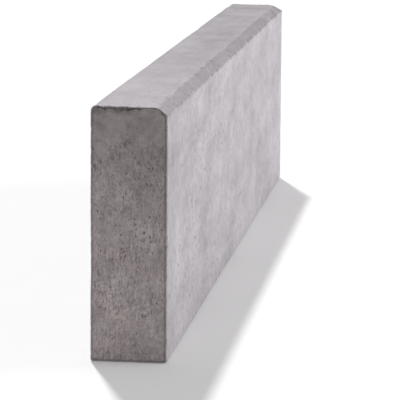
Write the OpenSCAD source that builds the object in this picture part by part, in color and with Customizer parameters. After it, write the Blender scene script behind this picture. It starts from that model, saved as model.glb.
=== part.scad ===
// Straight edging kerb, pressed from concrete in one piece.
// The section runs unchanged from end to end: an upright slab with a flat bed,
// a chamfer along the top of the front face and a rounded arris along the back.
//
// X runs along the kerb, -Y is out of the front face, Z is up.
// The origin is the middle of the bed.

/* [Unit] */
// Length from end face to end face
unit_length = 1000; // [250:10:1200]
// Thickness from front face to back face
unit_width = 60; // [50:1:150]
// Height from bed to top
unit_height = 200; // [150:5:300]

/* [Chamfer] */
// How far the chamfer reaches across the top
chamfer_across = 7.5; // [5:0.5:15]
// How far the chamfer drops down the front face
chamfer_drop = 7.5; // [5:0.5:15]
// Radius that blends the chamfer into the top
crest_radius = 8; // [2:0.5:10]
// Radius that blends the chamfer into the front face
brow_radius = 3; // [1:0.5:6]

/* [Arrises] */
// Radius of the arris between top and back
back_radius = 5; // [2:0.5:15]
// Radius of the two long arrises of the bed
bed_radius = 2; // [0.5:0.5:8]
// Radius of the arrises round each end face
end_radius = 1.5; // [0.5:0.5:5]

/* [Hidden] */

// Sides of a full circle, for every rounding
$fn = 96;

// How far the section is drawn out past each end before the ends are shaped
end_overrun = 10;

// How far each arc runs on into the flats that it joins, so that they always meet
seam_overlap = 0.0002;

concrete_grey = [0.73, 0.71, 0.73];

// Section of the kerb as [across, up, rounding radius], anticlockwise from the foot of the front face
section_corners = [
    [-unit_width / 2, 0, bed_radius],
    [unit_width / 2, 0, bed_radius],
    [unit_width / 2, unit_height, back_radius],
    [chamfer_across - unit_width / 2, unit_height, crest_radius],
    [-unit_width / 2, unit_height - chamfer_drop, brow_radius],
];

function direction(vector) = vector / norm(vector);

function point(corner) = [corner[0], corner[1]];

// The corners of a rectangle that is centred on X, starts at a given Y and has one rounding radius
function rectangle_corners(size, low, radius) = [
    [-size[0] / 2, low, radius],
    [size[0] / 2, low, radius],
    [size[0] / 2, low + size[1], radius],
    [-size[0] / 2, low + size[1], radius],
];

// What a rounding cuts from one corner: the piece outside its arc, drawn about the corner's own point
module corner_trim(before, corner, after) {
    radius = corner[2];
    to_before = direction(point(before) - point(corner));
    to_after = direction(point(after) - point(corner));
    inward = direction(to_before + to_after);
    half_angle = acos(to_before * to_after) / 2;
    reach = radius / tan(half_angle);
    translate(point(corner))
        difference() {
            polygon([
                reach * to_before,
                reach * to_after,
                reach * (to_after - inward),
                reach * (to_before - inward),
            ]);
            translate(inward * radius / sin(half_angle))
                circle(r = radius + seam_overlap);
        }
}

// A convex outline with a true arc at every corner
module rounded_outline(corners) {
    count = len(corners);
    difference() {
        polygon([for (corner = corners) point(corner)]);
        for (i = [0:count - 1])
            corner_trim(corners[(i + count - 1) % count], corners[i], corners[(i + 1) % count]);
    }
}

// The section, drawn out along X past both ends
module drawn_section() {
    rotate([90, 0, 90])
        linear_extrude(unit_length + 2 * end_overrun, center = true)
            rounded_outline(section_corners);
}

// The outline seen from above, which rounds the upright arrises of the ends
module plan_block() {
    linear_extrude(unit_height)
        rounded_outline(rectangle_corners([unit_length, unit_width], -unit_width / 2, end_radius));
}

// The outline seen from the front, which rounds the top and bed arrises of the ends
module front_block() {
    rotate([90, 0, 0])
        linear_extrude(unit_width, center = true)
            rounded_outline(rectangle_corners([unit_length, unit_height], 0, end_radius));
}

module kerb_stone() {
    color(concrete_grey)
        intersection() {
            drawn_section();
            plan_block();
            front_block();
        }
}

kerb_stone();
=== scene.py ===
"""Looks of a straight concrete edging kerb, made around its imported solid.

The kerb is one closed mesh. The skin of its four long sides, the sleeve, is unrolled flat and
sprinkled with points, which crowd together along the arrises and round every pore and chip.
The points are joined into triangles, rolled back up and moved inward by the relief. The two
ends are made the same way, each in its own plane.
"""
import math
from typing import NamedTuple

import bpy
import numpy as np
from mathutils import Matrix, Vector, noise
from mathutils.geometry import delaunay_2d_cdt


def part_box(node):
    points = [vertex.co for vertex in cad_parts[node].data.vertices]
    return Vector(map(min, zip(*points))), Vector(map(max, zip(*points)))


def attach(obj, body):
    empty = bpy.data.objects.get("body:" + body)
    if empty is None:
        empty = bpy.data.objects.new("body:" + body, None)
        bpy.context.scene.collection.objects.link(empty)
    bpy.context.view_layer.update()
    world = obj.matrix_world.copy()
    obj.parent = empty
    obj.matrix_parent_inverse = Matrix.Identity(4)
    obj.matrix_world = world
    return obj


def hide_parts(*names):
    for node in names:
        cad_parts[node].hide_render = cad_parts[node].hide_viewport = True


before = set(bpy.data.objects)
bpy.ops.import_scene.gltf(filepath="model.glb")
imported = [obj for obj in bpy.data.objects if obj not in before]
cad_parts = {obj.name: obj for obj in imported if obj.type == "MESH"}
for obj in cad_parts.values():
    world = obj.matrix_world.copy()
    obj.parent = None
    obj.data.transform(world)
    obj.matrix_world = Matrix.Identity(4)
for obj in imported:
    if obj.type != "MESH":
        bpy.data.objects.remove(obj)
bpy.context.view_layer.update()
solid_low, solid_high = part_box("kerb_stone")

SEED = 11
rng = np.random.default_rng(SEED)

# Sizes of the solid, in metres
MM = 0.001
LENGTH, WIDTH, HEIGHT = solid_high - solid_low
KERB_SPAN = (-LENGTH / 2, LENGTH / 2)
CHAMFER = 7.5 * MM
CREST_RADIUS = 8 * MM
BROW_RADIUS = 3 * MM
BACK_RADIUS = 5 * MM
BED_RADIUS = 2 * MM
END_RADIUS = 1.5 * MM

EIGHTH_TURN = math.pi / 4
QUARTER_TURN = math.pi / 2


def fall(distance, near, far):
    """1 up to the near distance, falling to 0 at the far one."""
    return np.clip((far - distance) / (far - near), 0, 1)


# The section: straight runs and arcs, from the middle of the bed round by the back
class Run(NamedTuple):
    """A stretch of the section, whose curvature is 0 where it is straight."""
    name: str
    length: float
    curvature: float


def section_runs():
    """The stretches of the section, in order."""
    crest_reach = CREST_RADIUS * math.tan(EIGHTH_TURN / 2)
    brow_reach = BROW_RADIUS * math.tan(EIGHTH_TURN / 2)
    half_bed = WIDTH / 2 - BED_RADIUS
    return [
        Run("bed_back", half_bed, 0),
        Run("bed_back_arris", BED_RADIUS * QUARTER_TURN, 1 / BED_RADIUS),
        Run("back", HEIGHT - BED_RADIUS - BACK_RADIUS, 0),
        Run("back_arris", BACK_RADIUS * QUARTER_TURN, 1 / BACK_RADIUS),
        Run("top", WIDTH - BACK_RADIUS - CHAMFER - crest_reach, 0),
        Run("crest", CREST_RADIUS * EIGHTH_TURN, 1 / CREST_RADIUS),
        Run("chamfer", CHAMFER * math.sqrt(2) - crest_reach - brow_reach, 0),
        Run("brow", BROW_RADIUS * EIGHTH_TURN, 1 / BROW_RADIUS),
        Run("front", HEIGHT - CHAMFER - brow_reach - BED_RADIUS, 0),
        Run("bed_front_arris", BED_RADIUS * QUARTER_TURN, 1 / BED_RADIUS),
        Run("bed_front", half_bed, 0),
    ]


def step_along(start, heading, curvature, distance):
    """Where a run leads to, distance along it, and its heading there."""
    turned = heading + curvature * distance
    bent = curvature != 0
    bend = np.where(bent, curvature, 1)
    across = np.where(bent, (np.sin(turned) - np.sin(heading)) / bend, distance * np.cos(heading))
    up = np.where(bent, (np.cos(heading) - np.cos(turned)) / bend, distance * np.sin(heading))
    return start + np.stack([across, up], -1), turned


RUNS = section_runs()
RUN_LENGTHS = np.array([run.length for run in RUNS])
RUN_CURVES = np.array([run.curvature for run in RUNS], float)
RUN_STARTS = np.concatenate([[0], np.cumsum(RUN_LENGTHS)])
RUN_SPANS = {run.name: (RUN_STARTS[i], RUN_STARTS[i + 1]) for i, run in enumerate(RUNS)}
RUN_HEADINGS = np.concatenate([[0], np.cumsum(RUN_CURVES * RUN_LENGTHS)])
RUN_POINTS = [np.zeros(2)]
for index, length in enumerate(RUN_LENGTHS):
    RUN_POINTS.append(step_along(RUN_POINTS[-1], RUN_HEADINGS[index], RUN_CURVES[index], length)[0])
RUN_POINTS = np.array(RUN_POINTS)

# The sleeve: u runs along the kerb from its middle, s runs round the section
ROUND = RUN_STARTS[-1]
STRAIGHT = LENGTH / 2 - END_RADIUS
REACH = STRAIGHT + END_RADIUS * QUARTER_TURN


def walk(s):
    """Where the section is, at distance s round it, and its outward normal there."""
    run = np.clip(np.searchsorted(RUN_STARTS, s, side="right") - 1, 0, len(RUNS) - 1)
    point, heading = step_along(RUN_POINTS[run], RUN_HEADINGS[run], RUN_CURVES[run], s - RUN_STARTS[run])
    return point, np.stack([np.sin(heading), -np.cos(heading)], -1)


def roll(u, s):
    """Points of the sleeve in place, with their normals. They bend over the arris at each end."""
    point, outward = walk(s)
    over = np.clip((np.abs(u) - STRAIGHT) / END_RADIUS, 0, QUARTER_TURN)
    inset = END_RADIUS * (1 - np.cos(over))
    x = np.sign(u) * (np.minimum(np.abs(u), STRAIGHT) + END_RADIUS * np.sin(over))
    place = np.column_stack([x, point - inset[:, None] * outward])
    normal = np.column_stack([np.sign(u) * np.sin(over), outward * np.cos(over)[:, None]])
    return place, normal


def share_of_span(s, span, soft):
    """1 on a span of the section, falling to 0 over a soft width on each side."""
    low, high = span
    return fall(np.maximum(low - s, s - high), 0, soft)


# How far apart the mesh's points are
FLAT_STEPS = {
    "bed_back": 8 * MM,
    "back": 4.4 * MM,
    "top": 3.4 * MM,
    "chamfer": 1.7 * MM,
    "front": 3.7 * MM,
    "bed_front": 8 * MM,
}
ARRIS_ALONG = 2.4 * MM
ARRIS_ACROSS = 1.2 * MM
ROW_STEP = 1.3 * MM
LEAST_ROW_POINTS = 3
SEAM_STEP = 8 * MM
END_STEP = 1.2 * MM
END_ROW_ANGLES = np.radians([0, 30, 60, 90])

# How far a point may stray from its place in the grid, as a share of the grid's step
SHAKE = 0.3

# How near the points of an end come to its outline, as a share of their step
END_CLEAR = 0.6


def between(low, high, step):
    """Even values inside a range, half a step from its ends."""
    count = max(1, round((high - low) / step))
    return low + (np.arange(count) + 0.5) * (high - low) / count


def shaken(us, ss, shake_u, shake_s):
    """A grid of points, each moved by up to the given distances."""
    grid = np.stack(np.meshgrid(us, ss, indexing="ij"), -1).reshape(-1, 2)
    return grid + rng.uniform(-1, 1, grid.shape) * [shake_u, shake_s]


def row_stations():
    """Distances round the section for the rows at the ends, with both sides of the seam."""
    stations = []
    for start, length in zip(RUN_STARTS, RUN_LENGTHS):
        count = max(LEAST_ROW_POINTS, math.ceil(length / ROW_STEP))
        stations.append(start + np.arange(count) * length / count)
    return np.concatenate([*stations, [ROUND]])


def base_points():
    """The sleeve's points apart from its borders, pores and chips."""
    found = []
    for run, start in zip(RUNS, RUN_STARTS):
        if run.curvature:
            us = between(-STRAIGHT, STRAIGHT, ARRIS_ALONG)
            count = math.ceil(run.length / ARRIS_ACROSS) + 1
            for s in np.linspace(start, start + run.length, count):
                found.append(shaken(us, [s], SHAKE * ARRIS_ALONG, 0))
        else:
            step = FLAT_STEPS[run.name]
            us = between(-STRAIGHT, STRAIGHT, step)
            ss = between(start, start + run.length, step)
            found.append(shaken(us, ss, SHAKE * step, SHAKE * step))
    return np.concatenate(found)


# Pores: each ring has its share of the pore's radius and of its depth
PORE_RINGS = ((1.0, 0.0), (0.72, 0.8), (0.0, 1.0))
PORE_SIDES = 7

# A pore's depth, its stretch along u and s, its uneven spokes, the room that other points leave it
# and its spacing from other pores, all as shares of its radius
PORE_DEPTH = 0.9
PORE_STRETCH = (0.8, 1.1)
PORE_WOBBLE = (0.6, 1.2)
PORE_CLEAR = 1.35
PORE_SPACING = 1.6

# The higher this is, the more of the pores are small
SMALL_PORE_BIAS = 2.6

SLEEVE_PORES = {"front": 320, "back": 320, "top": 90, "chamfer": 16, "bed_back": 50, "bed_front": 50}
SLEEVE_PORE_RADII = (0.5 * MM, 1.6 * MM)
SLEEVE_PORE_MARGIN = 4 * MM
END_PORES = 190
END_PORE_RADII = (0.35 * MM, 1.05 * MM)
END_PORE_MARGIN = 3.5 * MM
END_SMOOTH_TOP = 26 * MM


def pore_radii(count, small, large):
    """Many small pores and few large ones."""
    return small * (large / small) ** (rng.random(count) ** SMALL_PORE_BIAS)


def keep_apart(centres, radii):
    """The largest pores that don't run into one another."""
    kept = []
    for i in np.argsort(-radii):
        gaps = np.hypot(*(centres[kept] - centres[i]).T) if kept else np.array([])
        if np.all(gaps > PORE_SPACING * (radii[kept] + radii[i])):
            kept.append(i)
    return centres[kept], radii[kept]


def pore_points(centres, radii):
    """Rings of points for each pore, and how deep each lies."""
    points = []
    depths = []
    for centre, radius in zip(centres, radii):
        angles = rng.uniform(0, 2 * math.pi) + np.arange(PORE_SIDES) * 2 * math.pi / PORE_SIDES
        lengths = radius * rng.uniform(*PORE_WOBBLE, PORE_SIDES)
        spokes = np.column_stack([np.cos(angles), np.sin(angles)]) * PORE_STRETCH * lengths[:, None]
        for share, depth in PORE_RINGS:
            ring = spokes * share if share else np.zeros((1, 2))
            points.append(centre + ring)
            depths.append(np.full(len(ring), depth * radius * PORE_DEPTH))
    return np.concatenate(points), np.concatenate(depths)


def clear_of(points, centres, radii):
    """The points that lie outside every pore, in order of their first coordinate."""
    points = points[np.argsort(points[:, 0])]
    reach = PORE_CLEAR * radii
    starts = np.searchsorted(points[:, 0], centres[:, 0] - reach)
    stops = np.searchsorted(points[:, 0], centres[:, 0] + reach)
    keep = np.ones(len(points), bool)
    for start, stop, middle, limit in zip(starts, stops, centres[:, 1], reach):
        keep[start:stop] &= np.abs(points[start:stop, 1] - middle) > limit
    return points[keep]


def sleeve_pores():
    """Centres and radii of the pores of the long faces."""
    reach = STRAIGHT - SLEEVE_PORE_MARGIN
    centres = []
    for name, count in SLEEVE_PORES.items():
        low, high = RUN_SPANS[name]
        margin = min(SLEEVE_PORE_MARGIN, (high - low) / 3)
        us = rng.uniform(-reach, reach, count)
        ss = rng.uniform(low + margin, high - margin, count)
        centres.append(np.column_stack([us, ss]))
    centres = np.concatenate(centres)
    return keep_apart(centres, pore_radii(len(centres), *SLEEVE_PORE_RADII))


def end_pores():
    """Centres and radii of one end's pores, which leave the end's top smooth."""
    half = WIDTH / 2 - END_PORE_MARGIN
    across = rng.uniform(-half, half, END_PORES)
    up = rng.triangular(END_PORE_MARGIN, HEIGHT / 2, HEIGHT - END_SMOOTH_TOP, END_PORES)
    return keep_apart(np.column_stack([across, up]), pore_radii(END_PORES, *END_PORE_RADII))


# Chips: each is a rough ball that takes a flake off an arris
class Chip(NamedTuple):
    """Its place on the sleeve, the ball's radius, how deep it bites and how dark it is."""
    u: float
    s: float
    radius: float
    bite: float
    dark: float


# The number of chips on each long arris, and the deepest bite there
LONG_CHIPS = {
    "bed_back_arris": (18, 1.2 * MM),
    "back_arris": (34, 2.0 * MM),
    "crest": (6, 0.8 * MM),
    "brow": (34, 0.8 * MM),
    "bed_front_arris": (20, 1.2 * MM),
}
LONG_CHIP_RADII = (3 * MM, 8 * MM)
LONG_CHIP_LEAST_BITE = 0.35 * MM
END_CHIPS = 46
END_CHIP_RADII = (2.5 * MM, 6 * MM)
END_CHIP_BITES = (0.3 * MM, 1.0 * MM)
CHIP_DARK = 0.4

# The top arris of each end crumbled where the mould opened, apart from its back corner
CRUMBS = 8
CRUMBLED_FROM = 3 * MM
CRUMBLED_LENGTH = 32 * MM
CRUMB_RADII = (2.6 * MM, 4.2 * MM)
CRUMB_BITES = (1.7 * MM, 3.2 * MM)
CRUMB_DARK = 1.0

# The deepest bite, as a share of the ball's radius, and how rough the ball is
MOST_BITE = 0.8
CHIP_ROUGHNESS = 0.35
CHIP_GRAIN = 2.2 * MM

# The extra points of a chip: their step, how far past the chip they reach, and their gap to the ends
CHIP_STEP = 0.9 * MM
CHIP_REACH = 1.3
CHIP_MARGIN = 0.3 * MM


def chip_at(u, s, radii, bites, dark):
    """A chip of any size within two ranges, never so deep that its ball sinks in."""
    radius = rng.uniform(*radii)
    return Chip(u, s, radius, min(rng.uniform(*bites), MOST_BITE * radius), dark)


def arris_chips():
    """The chips of the long arrises and of the ends' arrises, and the crumbs."""
    chips = []
    for name, (count, deepest) in LONG_CHIPS.items():
        middle = sum(RUN_SPANS[name]) / 2
        bites = (LONG_CHIP_LEAST_BITE, deepest)
        for u in rng.uniform(-STRAIGHT, STRAIGHT, count):
            chips.append(chip_at(u, middle, LONG_CHIP_RADII, bites, CHIP_DARK))
    crumble_start = RUN_SPANS["top"][0] + CRUMBLED_FROM
    for side in (-1, 1):
        u = side * (STRAIGHT + REACH) / 2
        for s in rng.uniform(0, ROUND, END_CHIPS):
            chips.append(chip_at(u, s, END_CHIP_RADII, END_CHIP_BITES, CHIP_DARK))
        for share in (np.arange(CRUMBS) + rng.random(CRUMBS)) / CRUMBS:
            s = crumble_start + CRUMBLED_LENGTH * share
            chips.append(chip_at(u, s, CRUMB_RADII, CRUMB_BITES, CRUMB_DARK))
    return chips


def chip_points(chips):
    """Extra points where a chip will be cut."""
    found = []
    for chip in chips:
        half = CHIP_REACH * math.sqrt(2 * chip.radius * chip.bite)
        steps = between(-half, half, CHIP_STEP)
        spots = shaken(steps, steps, SHAKE * CHIP_STEP, SHAKE * CHIP_STEP)
        found.append(spots[np.hypot(*spots.T) < half] + [chip.u, chip.s])
    u, s = np.concatenate(found).T
    on_sleeve = (np.abs(u) < STRAIGHT - CHIP_MARGIN) & (s > 0) & (s < ROUND)
    return np.column_stack([u, s])[on_sleeve]


# Relief: everything lies below the solid's surface, by these depths
LEAST_INSET = 0.02 * MM
USUAL_INSET = 0.08 * MM
WAVE_DEPTH = 0.16 * MM
GRAIN_DEPTH = 0.04 * MM
DRAG_DEPTH = 0.055 * MM
WEAR_DEPTH = 0.45 * MM
HOLLOW_DEPTH = 0.3 * MM

# How far the wear of an arris reaches into the faces beside it
ARRIS_SOFT = 3 * MM

# How large the lumps of the relief are, and how much longer along each axis
WAVE_SIZE = 70 * MM
GRAIN_SIZE = 9 * MM
DRAG_SIZE = 5 * MM
DRAG_STRETCH = (1, 1, 12)
WEAR_SIZE = 26 * MM
WEAR_STRETCH = (2.5, 1, 1)
WEAR_OCTAVES = 4
HOLLOW_SIZE = 2.4 * MM
HOLLOW_STRETCH = (1, 1, 1.6)

# How each octave of the lumps follows from the one before: its increment and its step in frequency
LUMP_INCREMENT = 1.0
LUMP_LACUNARITY = 2.0

# How fast the drag lines fade as a surface tilts, and how steep the sides of a hollow are
DRAG_FADE = 1.5
HOLLOW_STEEPNESS = 2

# The smooth top of an end has a wavering lower border, and the coarse part below is patchy
BORDER_WAVER = 8 * MM
BORDER_SIZE = 16 * MM
BORDER_WIDTH = 26 * MM
LEAST_COARSE = 0.1
PATCH_SIZE = 24 * MM
PATCH_USUAL = 0.8
PATCH_SWING = 0.5
PATCH_LEAST = 0.4

# The top dips towards each end, and parts of the low end's arris stand up from the dip as a lip
DIP_DEPTHS = (0.7 * MM, 1.2 * MM)
DIP_DEEPEST = 40 * MM
DIP_ALONG = (8 * MM, 60 * MM)
DIP_ACROSS = (53 * MM, 60 * MM)
LIP_ALONG = (3 * MM, 8 * MM)
LIP_CORNER = (5 * MM, 8 * MM)
LIP_GRAIN = 4.5 * MM
LIP_STEEPNESS = 3

# The corner where the crest meets the high end is rounded off, straight in across the chamfer
CORNER_DEPTH = 1.7 * MM
CORNER_ALONG = (6 * MM, 45 * MM)
CORNER_ROUND = (2 * MM, 11 * MM)
CORNER_INWARD = np.array([0, 1, -1]) / math.sqrt(2)

# Where the arris of each end is crumbled: from the end, down from the top and from the back
CRUMBLED_ALONG = (1.5 * MM, 4 * MM)
CRUMBLED_DOWN = (3 * MM, 8 * MM)
CRUMBLED_ACROSS = (33 * MM, 40 * MM)
CRUMBLED_HOLLOWS = 3


def lumps(places, size, stretch=(1, 1, 1), octaves=2):
    """Noise from about -1 to 1, in lumps about size across, longer by stretch along each axis."""
    scaled = places / (size * np.array(stretch))
    return np.array([noise.fractal(p, LUMP_INCREMENT, LUMP_LACUNARITY, octaves) for p in scaled.tolist()])


def crumbled(places):
    """1 where the top arris of an end is crumbled, falling to 0 round it."""
    from_end = LENGTH / 2 - np.abs(places[:, 0])
    from_back = WIDTH / 2 - places[:, 1]
    beside = fall(from_end, *CRUMBLED_ALONG) * fall(from_back, *CRUMBLED_ACROSS)
    return beside * fall(HEIGHT - places[:, 2], *CRUMBLED_DOWN)


def end_lip(places):
    """1 where the low end's top arris keeps its height: at its back corner and in grains beside it."""
    from_back = WIDTH / 2 - places[:, 1]
    grains = np.clip(LIP_STEEPNESS * lumps(places, LIP_GRAIN), 0, 1) * fall(from_back, *CRUMBLED_ACROSS)
    kept = np.maximum(fall(from_back, *LIP_CORNER), grains)
    return kept * fall(places[:, 0] + LENGTH / 2, *LIP_ALONG)


def end_dip(places, normals):
    """How far the top dips towards the ends, which is more towards the front."""
    from_end = LENGTH / 2 - np.abs(places[:, 0])
    from_back = WIDTH / 2 - places[:, 1]
    depth = np.interp(from_back, (0, DIP_DEEPEST), DIP_DEPTHS)
    share = fall(from_end, *DIP_ALONG) * fall(from_back, *DIP_ACROSS) * (1 - end_lip(places))
    return depth * share * np.clip(normals[:, 2], 0, 1)


def rounded_corner(places):
    """How the crest's rounded corner moves each point."""
    from_crest = np.hypot(places[:, 1] + WIDTH / 2 - CHAMFER, places[:, 2] - HEIGHT)
    share = fall(LENGTH / 2 - places[:, 0], *CORNER_ALONG) * fall(from_crest, *CORNER_ROUND)
    return CORNER_DEPTH * share[:, None] * CORNER_INWARD


def relief(places, normals, arris):
    """How far inward the surface lies: waves, grain, upright drag lines and wear of all kinds."""
    upright = np.clip(1 - DRAG_FADE * np.abs(normals[:, 2]), 0, 1)
    worn = np.clip(lumps(places, WEAR_SIZE, WEAR_STRETCH, WEAR_OCTAVES), 0, None)
    wave = WAVE_DEPTH * lumps(places, WAVE_SIZE)
    grain = GRAIN_DEPTH * lumps(places, GRAIN_SIZE)
    drag = DRAG_DEPTH * upright * lumps(places, DRAG_SIZE, DRAG_STRETCH)
    inset = np.clip(USUAL_INSET + wave + grain + drag, LEAST_INSET, None)
    return inset + WEAR_DEPTH * arris * worn + end_dip(places, normals)


def end_roughness(places):
    """How coarse an end is, from near 0 in its smooth top to 1."""
    border = HEIGHT - END_SMOOTH_TOP + BORDER_WAVER * lumps(places, BORDER_SIZE)
    rough = np.clip((border - places[:, 2]) / BORDER_WIDTH + 0.5, LEAST_COARSE, 1)
    return rough * np.clip(PATCH_USUAL + PATCH_SWING * lumps(places, PATCH_SIZE), PATCH_LEAST, 1)


def end_hollows(places):
    """How far inward the hollows between an end's grains reach, where it is fully coarse."""
    share = -HOLLOW_STEEPNESS * lumps(places, HOLLOW_SIZE, HOLLOW_STRETCH)
    return HOLLOW_DEPTH * np.clip(share, 0, 1)


def scoop(places, chip):
    """Moves the points in a chip's rough ball straight inward to its surface. Says which they were."""
    spots, normals = roll(np.array([chip.u]), np.array([chip.s]))
    outward = normals[0]
    away = places - (spots[0] + outward * (chip.radius - chip.bite))
    distance = np.linalg.norm(away, axis=1)
    near = np.flatnonzero(distance < chip.radius * (1 + CHIP_ROUGHNESS))
    rough = chip.radius * (1 + CHIP_ROUGHNESS * lumps(places[near], CHIP_GRAIN))
    inside = distance[near] < rough
    hit = near[inside]
    height = away[hit] @ outward
    drop = height + np.sqrt(height ** 2 + rough[inside] ** 2 - distance[hit] ** 2)
    places[hit] -= drop[:, None] * outward
    return hit


# What the triangulation keeps: all within the hull of its points, or only what a border holds
KEEP_HULL = 0
KEEP_INSIDE = 1
MERGE_WITHIN = 1e-9


# Parts of the skin
def triangles_of(points, border=None):
    """Joins points in a plane into triangles that turn anticlockwise, inside any border given."""
    borders = [border] if border else []
    keep = KEEP_INSIDE if border else KEEP_HULL
    made = delaunay_2d_cdt([Vector(p) for p in points], [], borders, keep, MERGE_WITHIN)
    _, _, faces, sources, _, _ = made
    source = np.array([ids[0] for ids in sources])
    corners = source[np.array(faces)]
    a, b, c = (points[corners[:, k]] for k in range(3))
    ab, ac = b - a, c - a
    clockwise = ab[:, 0] * ac[:, 1] < ab[:, 1] * ac[:, 0]
    corners[clockwise] = corners[clockwise][:, ::-1]
    return corners


def depth_inside(points, outline):
    """How far each point is inside a convex outline that turns anticlockwise."""
    depth = np.full(len(points), np.inf)
    for start, end in zip(outline, np.roll(outline, -1, axis=0)):
        along = (end - start) / np.linalg.norm(end - start)
        gap = points - start
        depth = np.minimum(depth, along[0] * gap[:, 1] - along[1] * gap[:, 0])
    return depth


def seam_partners(total, rows, row_length, seam_length):
    """For each point of the sleeve, the point that it becomes when the sleeve is rolled up."""
    partner = np.arange(total)
    for row in range(rows):
        partner[(row + 1) * row_length - 1] = row * row_length
    first = rows * row_length
    partner[first + seam_length:first + 2 * seam_length] = first + np.arange(seam_length)
    return partner


def sleeve(chips):
    """The long sides: points, pore depths, triangles, seam partners and the rows beside the ends."""
    stations = row_stations()
    row_us = [side * (STRAIGHT + END_RADIUS * angle) for side in (-1, 1) for angle in END_ROW_ANGLES]
    rows = [np.column_stack([np.full(len(stations), u), stations]) for u in row_us]
    seam_us = between(-STRAIGHT, STRAIGHT, SEAM_STEP)
    seams = [np.column_stack([seam_us, np.full(len(seam_us), s)]) for s in (0, ROUND)]
    centres, radii = sleeve_pores()
    loose = clear_of(np.concatenate([base_points(), chip_points(chips)]), centres, radii)
    rings, ring_depths = pore_points(centres, radii)
    points = np.concatenate([*rows, *seams, loose, rings])
    depths = np.concatenate([np.zeros(len(points) - len(rings)), ring_depths])
    partners = seam_partners(len(points), len(rows), len(stations), len(seam_us))
    row = np.arange(len(stations) - 1)
    borders = [row + len(stations) * k for k in (len(END_ROW_ANGLES) - 1, len(rows) - 1)]
    return points, depths, triangles_of(points), partners, borders


def end_face(outline):
    """One end: its points with the outline's first, their pore depths and their triangles."""
    centres, radii = end_pores()
    low, high = outline.min(0), outline.max(0)
    across, up = (between(low[k], high[k], END_STEP) for k in (0, 1))
    grid = shaken(across, up, SHAKE * END_STEP, SHAKE * END_STEP)
    loose = clear_of(grid[depth_inside(grid, outline) > END_CLEAR * END_STEP], centres, radii)
    rings, ring_depths = pore_points(centres, radii)
    points = np.concatenate([outline, loose, rings])
    depths = np.concatenate([np.zeros(len(points) - len(rings)), ring_depths])
    return points, depths, triangles_of(points, list(range(len(outline))))


# How wide the dark rim of an end is: along its top, along the back half of its top, and along its front
RIM_TOP = 5 * MM
RIM_BACK_TOP = 11 * MM
RIM_BACK_FROM = -4 * MM
RIM_FRONT = 3.6 * MM

# The chamfer is scuffed, and so is the crest apart from a strip beside the top
CREST_CLEAN = 4.1 * MM
SCUFFED_SPAN = (RUN_SPANS["crest"][0] + CREST_CLEAN, RUN_SPANS["chamfer"][1])
MARK_SOFT = 4 * MM

# How the tone drifts along the kerb, from end to end: painted light that brightens the long sides towards
# the high end, and painted shade that darkens the top, more towards the high end
PAINTED_SIDE_LIGHT_DRIFT = 0.11
PAINTED_TOP_SHADE_DRIFT = -0.26
PAINTED_TOP_SHADE = -0.10

# The front is brighter below the brow: how far down from the top, and from where along the kerb
BROW_TONE = 0.05
BROW_BRIGHT_DOWN = (18 * MM, 38 * MM)
BROW_DULL_ALONG = (60 * MM, 200 * MM)

# A stain on the top, beside the crest: its tone, its middle, and its reach along and across
STAIN_TONE = -0.15
STAIN_PLACE = (-80 * MM, -9 * MM)
STAIN_REACH = (220 * MM, 26 * MM)
STAIN_SOFT = (0.1, 1)


def end_rim(flat):
    """1 at the top and front edges of an end and at its chamfer, falling to 0 across the dark rim."""
    across, up = flat.T
    below_top = HEIGHT - up
    from_front = across + WIDTH / 2
    from_chamfer = (from_front + below_top - CHAMFER) / math.sqrt(2)
    top_width = np.where(across > RIM_BACK_FROM, RIM_BACK_TOP, RIM_TOP)
    rim = np.maximum(fall(below_top, 0, top_width), fall(from_front, 0, RIM_FRONT))
    return np.maximum(rim, fall(from_chamfer, 0, RIM_TOP))


def painted_drift_and_stain(places, normals):
    """How much brighter the tone is: painted light on the long sides and painted shade on the top,
    changing slowly along the kerb, a brighter front below the brow, and a darker stain.
    """
    along = places[:, 0] / LENGTH
    sideways = np.abs(normals[:, 1])
    upward = np.clip(normals[:, 2], 0, 1)
    dull = fall(places[:, 0] + LENGTH / 2, *BROW_DULL_ALONG)
    bright = (normals[:, 1] < 0) * fall(HEIGHT - places[:, 2], *BROW_BRIGHT_DOWN) * (1 - dull)
    from_stain = np.hypot(*((places[:, :2] - STAIN_PLACE) / STAIN_REACH).T)
    painted_side_light_and_brow = PAINTED_SIDE_LIGHT_DRIFT * along + BROW_TONE * bright
    painted_top_shade_and_stain = PAINTED_TOP_SHADE + PAINTED_TOP_SHADE_DRIFT * along + STAIN_TONE * fall(from_stain, *STAIN_SOFT)
    return painted_side_light_and_brow * sideways + painted_top_shade_and_stain * upward


def sleeve_skin(points, depths):
    """The sleeve's points in place, with the marks that the material reads."""
    u, s = points.T
    places, normals = roll(u, s)
    end = np.clip((np.abs(u) - STRAIGHT) / (REACH - STRAIGHT), 0, 1)
    arris = fall(STRAIGHT - np.abs(u), 0, ARRIS_SOFT)
    for run in RUNS:
        if run.curvature:
            arris = np.maximum(arris, share_of_span(s, RUN_SPANS[run.name], ARRIS_SOFT))
    return {
        "place": places,
        "normal": normals,
        "depth": depths,
        "arris": arris,
        "top": share_of_span(s, RUN_SPANS["top"], MARK_SOFT),
        "chamfer": share_of_span(s, SCUFFED_SPAN, MARK_SOFT),
        "end": end,
        # On the sleeve the rim is painted shade on the rounded arris round each end.
        "rim": end,
        "coarse": crumbled(places),
        "painted_drift_and_stain": painted_drift_and_stain(places, normals),
    }


def end_skin(side, flat, depths, outline):
    """An end's points in place, with the marks that the material reads."""
    count = len(flat)
    places = np.column_stack([np.full(count, side * LENGTH / 2), flat])
    normals = np.tile([side, 0.0, 0.0], (count, 1))
    return {
        "place": places,
        "normal": normals,
        "depth": depths,
        "arris": fall(depth_inside(flat, outline), 0, ARRIS_SOFT),
        "top": np.zeros(count),
        "chamfer": np.zeros(count),
        "end": np.ones(count),
        "rim": end_rim(flat),
        "coarse": np.maximum(end_roughness(places), crumbled(places)),
        "painted_drift_and_stain": painted_drift_and_stain(places, normals),
    }


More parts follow.
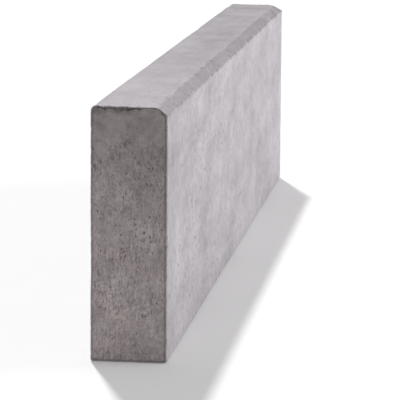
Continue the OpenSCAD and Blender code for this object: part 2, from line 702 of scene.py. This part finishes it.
def carve(skin, chips):
    """Moves the skin inward by its pores, hollows and relief, and takes the chips off it."""
    places, normals, arris = skin["place"], skin["normal"], skin["arris"]
    hollow = skin["coarse"] * (1 - arris) + CRUMBLED_HOLLOWS * crumbled(places)
    inset = skin["depth"] + hollow * end_hollows(places) + relief(places, normals, arris)
    carved = places + rounded_corner(places) - normals * inset[:, None]
    chipped = np.zeros(len(carved))
    for chip in chips:
        chipped[scoop(carved, chip)] = chip.dark
    skin["place"] = np.clip(carved, solid_low, solid_high)
    skin["chipped"] = chipped
    skin["pit"] = (skin["depth"] > 0).astype(float)


# The texture map: the sleeve fills it up to here, and the two ends lie above, side by side
SLEEVE_TOP = 0.83
MAP_MARGIN = 0.004
END_MAP_HALF = 0.49


def sleeve_map(points):
    """Where the sleeve's points lie in the texture map."""
    u, s = points.T
    return np.column_stack([(u + REACH) / (2 * REACH), s / ROUND * SLEEVE_TOP])


def end_map(side, flat):
    """Where an end's points lie in the texture map, with the end on its side."""
    across, up = flat.T
    spread = min((1 - SLEEVE_TOP - MAP_MARGIN) / WIDTH, END_MAP_HALF / HEIGHT)
    corner = [0.5 if side > 0 else 0, SLEEVE_TOP + MAP_MARGIN]
    return np.column_stack([up, across + WIDTH / 2]) * spread + corner


MARKS = ("pit", "chipped", "top", "chamfer", "end", "rim", "coarse", "painted_drift_and_stain")
SHARP_ANGLE = math.radians(40)


def mesh_of(skin, triangles, map_points):
    """A Blender mesh of the skin, without the points that the seam left over."""
    used, corners = np.unique(triangles, return_inverse=True)
    mesh = bpy.data.meshes.new("kerb_stone_cast")
    mesh.from_pydata(skin["place"][used].tolist(), [], corners.reshape(-1, 3).tolist())
    mesh.uv_layers.new(name="OFBake").uv.foreach_set("vector", map_points.astype(np.float32).ravel())
    for name in MARKS:
        values = mesh.attributes.new(name, "FLOAT", "POINT").data
        values.foreach_set("value", skin[name][used].astype(np.float32))
    mesh.polygons.foreach_set("use_smooth", np.ones(len(mesh.polygons), bool))
    mesh.set_sharp_from_angle(angle=SHARP_ANGLE)
    return mesh


def kerb_mesh():
    """The whole kerb, with its relief, marks and texture map."""
    chips = arris_chips()
    points, depths, triangles, partners, borders = sleeve(chips)
    outward = triangles[:, ::-1]
    skins = [sleeve_skin(points, depths)]
    corners = [partners[outward]]
    maps = [sleeve_map(points)[outward]]
    count = len(points)
    for side, border in zip((-1, 1), borders):
        outline = skins[0]["place"][border][:, 1:]
        flat, depths, triangles = end_face(outline)
        outward = triangles if side > 0 else triangles[:, ::-1]
        inner = slice(len(outline), None)
        skins.append(end_skin(side, flat[inner], depths[inner], outline))
        indices = np.concatenate([border, count + np.arange(len(flat) - len(outline))])
        corners.append(indices[outward])
        maps.append(end_map(side, flat)[outward])
        count += len(flat) - len(outline)
    skin = {name: np.concatenate([part[name] for part in skins]) for name in skins[0]}
    carve(skin, chips)
    return mesh_of(skin, np.concatenate(corners), np.concatenate(maps))


# Materials
class Pattern(NamedTuple):
    """Noise that makes a tone: the size of its lumps, the levels between which the tone changes, the
    tones there, how much longer the lumps are along each axis, and how finely they are broken up."""
    size: float
    levels: tuple
    tones: tuple
    stretch: tuple = (1, 1, 1)
    detail: float = 3


class Nodes:
    """Adds shader nodes to a tree and joins them."""

    def __init__(self, tree):
        tree.nodes.clear()
        self.tree = tree

    def add(self, kind, inputs=None, **settings):
        """A node with its settings, and with values or links for its inputs."""
        node = self.tree.nodes.new("ShaderNode" + kind)
        for name, value in settings.items():
            setattr(node, name, value)
        for name, value in (inputs or {}).items():
            socket = node.inputs[name]
            if isinstance(value, bpy.types.NodeSocket):
                self.tree.links.new(value, socket)
            else:
                socket.default_value = value
        return node

    def mark(self, name):
        """One of the mesh's marks."""
        return self.add("Attribute", attribute_name=name).outputs["Fac"]

    def math(self, operation, first, *rest):
        """Folds values together by one operation."""
        for value in rest:
            first = self.add("Math", {0: first, 1: value}, operation=operation).outputs[0]
        return first

    def total(self, *values):
        """The sum of values."""
        return self.math("ADD", *values)

    def product(self, *values):
        """The product of values."""
        return self.math("MULTIPLY", *values)

    def axis(self, where, name):
        """One coordinate of a place."""
        return self.add("SeparateXYZ", {0: where}).outputs[name]

    def ramp(self, value, low, high, start, end):
        """Start up to the low value, and a smooth change to end at the high one."""
        inputs = {"Value": value, "From Min": low, "From Max": high, "To Min": start, "To Max": end}
        return self.add("MapRange", inputs, interpolation_type="SMOOTHSTEP").outputs[0]

    def mix(self, share, first, second):
        """A colour between two, which is the second where the share is 1."""
        # A Mix node has its colours at inputs 6 and 7 and at output 2
        return self.add("Mix", {0: share, 6: first, 7: second}, data_type="RGBA").outputs[2]

    def shade(self, colour, tone):
        """A colour made brighter or darker by a tone."""
        return self.add("VectorMath", {0: colour, "Scale": tone}, operation="SCALE").outputs[0]

    def noise(self, where, size, stretch=(1, 1, 1), detail=3):
        """Noise from 0 to 1, in lumps about size across, longer by stretch along each axis."""
        scale = [1 / (size * k) for k in stretch]
        mapped = self.add("Mapping", {"Vector": where, "Scale": scale}).outputs[0]
        inputs = {"Vector": mapped, "Scale": 1.0, "Detail": detail, "Roughness": NOISE_ROUGHNESS}
        return self.add("TexNoise", inputs).outputs["Fac"]

    def pattern(self, where, pattern):
        """The tone that a pattern makes."""
        level = self.noise(where, pattern.size, pattern.stretch, pattern.detail)
        return self.ramp(level, *pattern.levels, *pattern.tones)


FACE_COLOUR = (0.490, 0.462, 0.492, 1)
# The ends are browner than the faces, and darker partly as painted shade.
SHADED_END_COLOUR = (0.371, 0.329, 0.336, 1)
TINT_COLOUR = (0.42, 0.36, 0.34, 1)
RUST_COLOUR = (0.40, 0.30, 0.285, 1)
TINT = Pattern(19 * MM, (0.3, 0.7), (0, 0.12), detail=2)
RUST_GRAINS = Pattern(5 * MM, (0.5, 0.7), (0, 0.24))
RUST_PATCHES = Pattern(34 * MM, (0.46, 0.62), (0, 0.15), detail=2)

# Noise that the tones and the bumps share
NOISE_ROUGHNESS = 0.55
BLOTCH_SIZE = 6.5 * MM
BLOTCH_LEVELS = (0.25, 0.75)
SAND_SIZE = 1.1 * MM
SAND_DETAIL = 2
SAND_LEVELS = (0.2, 0.8)

# Tones of the pressed faces
CLOUDS = Pattern(60 * MM, (0.25, 0.75), (-0.10, 0.10), detail=4)
BANDS = Pattern(28 * MM, (0.25, 0.75), (-0.11, 0.11), (3.5, 1, 1))
MOTTLES = Pattern(26 * MM, (0.3, 0.7), (-0.045, 0.045), (5, 1, 1), 2)
FLECKS = Pattern(6 * MM, (0.55, 0.71), (0, -0.28), (1.2, 1, 1), 5)
TEARS = Pattern(4 * MM, (0.58, 0.71), (0, -0.34), (1.4, 1, 1), 5)
CLUSTERS = Pattern(60 * MM, (0.42, 0.60), (0.2, 1), detail=2)
SAND_TONES = (-0.10, 0.10)
BLOTCH_TONES = (-0.10, 0.10)

# How strong the flecks and tears are at the low and the high end of the faces, and on the ends,
# and how much of all patches the top and the chamfer keep
TORN_SHARES = (1.4, 0.8)
TORN_ON_ENDS = 0.45
CALM_SHARE = 0.4

# Tones of wear. The scuffed chamfer has one at the low end and one at the high end, and its darkening
# towards the high end is painted shade.
SCUFFS = Pattern(10 * MM, (0.3, 0.7), (-0.24, 0.24), (6, 1, 1))
RAGGED = Pattern(2.4 * MM, (0.3, 0.7), (-0.20, 0.20), (4, 1, 1), 2)
SPECKS = Pattern(2 * MM, (0.66, 0.72), (1, 0.86), detail=1)
SCUFF_LEVELS = (0.25, 1.05)
SCUFF_AND_SHADE_DRIFT_TONES = (0.71, 0.64)
# Painted shade in the pores.
PORE_SHADE_TONE = 0.70
CHIP_TONE = 0.6
# Painted shade along the lowest few millimetres of the kerb.
FOOT_SHADE_HEIGHT = 4 * MM
FOOT_SHADE_TONE = 0.94

# Tones of the ends. The spots are stronger above a height, and the fade, painted shade that leaves the
# ends lighter at the foot and darker towards the top, runs from the foot to the top.
GRIT = Pattern(1.5 * MM, (0.28, 0.72), (-0.20, 0.20), (1, 1, 1.5), 2)
DRAG_LINES = Pattern(1.3 * MM, (0.25, 0.75), (-0.10, 0.10), (1, 1, 9), 2)
SPOTS = Pattern(2.3 * MM, (0.54, 0.67), (0, -0.50), (1, 1, 1.9))
SPOT_CLUSTERS = Pattern(17 * MM, (0.38, 0.62), (0.3, 1), detail=2)
SPOT_HEIGHTS = (HEIGHT - 85 * MM, HEIGHT - 45 * MM)
SPOT_SHARES = (0.85, 1.25)
DAMP = Pattern(11 * MM, (0.3, 0.7), (-0.09, 0.09))
PAINTED_SHADE_FADE_TONES = (0.10, -0.30)
# The rim darkens the ends along their edges and paints shade on the rounded arris round each end.
RIM_BLOTCHES = (-0.35, 0.35)
RIM_LEVELS = (0.25, 0.85)
RIM_AND_ARRIS_SHADE_TONE = 0.62

# The surface: matte, with fine bumps
ROUGHNESS = 0.9
SPECULAR = 0.3
SAND_BUMP = 0.6
BLOTCH_BUMP = 0.4
BUMP_STRENGTH = 0.35
BUMP_DEPTH = 0.4 * MM


def face_tone(n, where, blotches, sand):
    """The tone of the pressed faces: clouds and sand, and patches that mostly spare top and chamfer."""
    torn = n.ramp(n.axis(where, "X"), *KERB_SPAN, *TORN_SHARES)
    spared = n.ramp(n.mark("end"), 0, 1, 1, TORN_ON_ENDS)
    flecks = n.total(n.pattern(where, FLECKS), n.pattern(where, TEARS))
    marks = n.product(torn, spared, n.pattern(where, CLUSTERS), flecks)
    spread = n.ramp(blotches, *BLOTCH_LEVELS, *BLOTCH_TONES)
    calm = n.ramp(n.total(n.mark("top"), n.mark("chamfer")), 0, 1, 1, CALM_SHARE)
    patches = n.product(calm, n.total(n.pattern(where, BANDS), spread, marks))
    mottles = n.product(n.mark("top"), n.pattern(where, MOTTLES))
    grains = n.ramp(sand, *SAND_LEVELS, *SAND_TONES)
    # The painted drift mark holds painted light and shade along the kerb and on the top, and a stain.
    return n.total(1, n.pattern(where, CLOUDS), grains, n.mark("painted_drift_and_stain"), patches, mottles)


def wear_tone(n, where):
    """What darkens the tone: the scuffed chamfer, darker along the kerb as painted shade, specks, painted
    shade in the pores, chips and painted shade at the foot.
    """
    scuffed = n.total(n.mark("chamfer"), n.pattern(where, SCUFFS), n.pattern(where, RAGGED))
    # Painted shade: the chamfer darkens towards the high end.
    darkest_with_shade_drift = n.ramp(n.axis(where, "X"), *KERB_SPAN, *SCUFF_AND_SHADE_DRIFT_TONES)
    worn = n.ramp(scuffed, *SCUFF_LEVELS, 1, darkest_with_shade_drift)
    pores = n.ramp(n.mark("pit"), 0, 1, 1, PORE_SHADE_TONE)
    chips = n.ramp(n.mark("chipped"), 0, 1, 1, CHIP_TONE)
    foot = n.ramp(n.axis(where, "Z"), 0, FOOT_SHADE_HEIGHT, FOOT_SHADE_TONE, 1)
    return n.product(worn, n.pattern(where, SPECKS), pores, chips, foot)


def end_tone(n, where, blotches):
    """The tone of the ends: grit, drag lines and spots where they are coarse, damp, a rim that also
    paints arris shade, and a fade of painted shade, lighter at the foot and darker towards the top.
    """
    end = n.mark("end")
    height = n.axis(where, "Z")
    upper = n.ramp(height, *SPOT_HEIGHTS, *SPOT_SHARES)
    spots = n.product(n.pattern(where, SPOTS), n.pattern(where, SPOT_CLUSTERS), upper)
    marks = n.total(n.pattern(where, GRIT), n.pattern(where, DRAG_LINES), spots)
    coarse = n.total(1, n.product(n.mark("coarse"), marks))
    damped = n.total(1, n.product(end, n.pattern(where, DAMP)))
    painted_shade_fade = n.total(1, n.product(end, n.ramp(height, 0, HEIGHT, *PAINTED_SHADE_FADE_TONES)))
    ragged = n.total(n.mark("rim"), n.ramp(blotches, *BLOTCH_LEVELS, *RIM_BLOTCHES))
    rim = n.ramp(n.product(ragged, end), *RIM_LEVELS, 1, RIM_AND_ARRIS_SHADE_TONE)
    return n.product(coarse, damped, painted_shade_fade, rim)


def concrete_colour(n, where):
    """Grey faces and browner ends, darker partly as painted shade, with a faint warm tint, and rust where
    the ends are coarse.
    """
    plain = n.mix(n.mark("end"), FACE_COLOUR, SHADED_END_COLOUR)
    tinted = n.mix(n.pattern(where, TINT), plain, TINT_COLOUR)
    rust = n.total(n.pattern(where, RUST_GRAINS), n.pattern(where, RUST_PATCHES))
    return n.mix(n.product(n.mark("coarse"), rust), tinted, RUST_COLOUR)


def concrete():
    """Pressed concrete: smooth grey faces, coarser brownish ends."""
    material = bpy.data.materials.new("pressed_concrete")
    material.use_nodes = True
    n = Nodes(material.node_tree)
    where = n.add("TexCoord").outputs["Object"]
    blotches = n.noise(where, BLOTCH_SIZE)
    sand = n.noise(where, SAND_SIZE, detail=SAND_DETAIL)
    tone = n.product(
        face_tone(n, where, blotches, sand),
        wear_tone(n, where),
        end_tone(n, where, blotches),
    )
    bumps = n.total(n.product(sand, SAND_BUMP), n.product(blotches, BLOTCH_BUMP))
    bump = n.add("Bump", {"Height": bumps, "Strength": BUMP_STRENGTH, "Distance": BUMP_DEPTH})
    surface = n.add("BsdfPrincipled", {
        "Base Color": n.shade(concrete_colour(n, where), tone),
        "Roughness": ROUGHNESS,
        "Specular IOR Level": SPECULAR,
        "Normal": bump.outputs[0],
    })
    n.add("OutputMaterial", {"Surface": surface.outputs[0]})
    return material


# Stage
FLOOR_HALF = 30
FLOOR_COLOUR = (0.93, 0.93, 0.93, 1)
FLOOR_GLOW = 0.12
WORLD_LIGHT = 0.40


def pale_floor():
    """A wide floor that glows a little, so that it reads as white."""
    mesh = bpy.data.meshes.new("floor")
    signs = [(-1, -1), (1, -1), (1, 1), (-1, 1)]
    mesh.from_pydata([(FLOOR_HALF * x, FLOOR_HALF * y, 0) for x, y in signs], [], [(0, 1, 2, 3)])
    floor = bpy.data.objects.new("floor", mesh)
    bpy.context.scene.collection.objects.link(floor)
    material = bpy.data.materials.new("pale_floor")
    material.use_nodes = True
    n = Nodes(material.node_tree)
    diffuse = n.add("BsdfDiffuse", {"Color": FLOOR_COLOUR}).outputs[0]
    glow = n.add("Emission", {"Strength": FLOOR_GLOW}).outputs[0]
    both = n.add("AddShader", {0: diffuse, 1: glow}).outputs[0]
    n.add("OutputMaterial", {"Surface": both})
    mesh.materials.append(material)


def white_world():
    """Even light from all round, white where it is seen directly or by way of a shiny surface."""
    world = bpy.data.worlds.new("studio")
    world.use_nodes = True
    bpy.context.scene.world = world
    n = Nodes(world.node_tree)
    path = n.add("LightPath").outputs
    seen = n.math("MAXIMUM", path["Is Camera Ray"], path["Is Glossy Ray"], path["Is Transmission Ray"])
    strength = n.ramp(seen, 0, 1, WORLD_LIGHT, 1.0)
    background = n.add("Background", {"Color": (1, 1, 1, 1), "Strength": strength}).outputs[0]
    n.add("OutputWorld", {"Surface": background})


# For each lamp, the direction towards it, its level and its width in degrees.
# A level of 1 lights a surface that faces the lamp fully.
LAMPS = {
    "side_softbox": ((0.35, -0.90, 0.08), 0.54, 30),
    "back_key": ((0.75, 0.24, 1.0), 0.65, 3),
}


def lamps():
    """A wide soft lamp for the front face, and a key from behind that throws the shadow forward."""
    for name, (towards, level, width) in LAMPS.items():
        lamp = bpy.data.lights.new(name, "SUN")
        lamp.energy = level * math.pi
        lamp.angle = math.radians(width)
        holder = bpy.data.objects.new(name, lamp)
        holder.rotation_euler = Vector(towards).to_track_quat("Z", "Y").to_euler()
        bpy.context.scene.collection.objects.link(holder)


CAMERA_PLACE = Vector((-2.4330, -0.2824, 0.4330))
CAMERA_TARGET = Vector((-0.0078, 0.0030, 0.0512))
CAMERA_ROLL = math.radians(0.41)
CAMERA_LENS = 232.4
CAMERA_RANGE = (0.01, 100)


def camera():
    """The photograph's view, along the kerb from its near end."""
    lens = bpy.data.cameras.new("camera")
    lens.sensor_fit = "HORIZONTAL"
    lens.lens = CAMERA_LENS
    lens.clip_start, lens.clip_end = CAMERA_RANGE
    holder = bpy.data.objects.new("camera", lens)
    facing = (CAMERA_TARGET - CAMERA_PLACE).to_track_quat("-Z", "Y").to_matrix().to_4x4()
    turn = Matrix.Rotation(CAMERA_ROLL, 4, "Z")
    holder.matrix_world = Matrix.Translation(CAMERA_PLACE) @ facing @ turn
    bpy.context.scene.collection.objects.link(holder)
    bpy.context.scene.camera = holder


kerb = bpy.data.objects.new("kerb_stone_cast", kerb_mesh())
bpy.context.scene.collection.objects.link(kerb)
kerb.data.materials.append(concrete())
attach(kerb, "root")
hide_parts("kerb_stone")

pale_floor()
white_world()
lamps()
camera()
bpy.context.scene.view_settings.view_transform = "Standard"
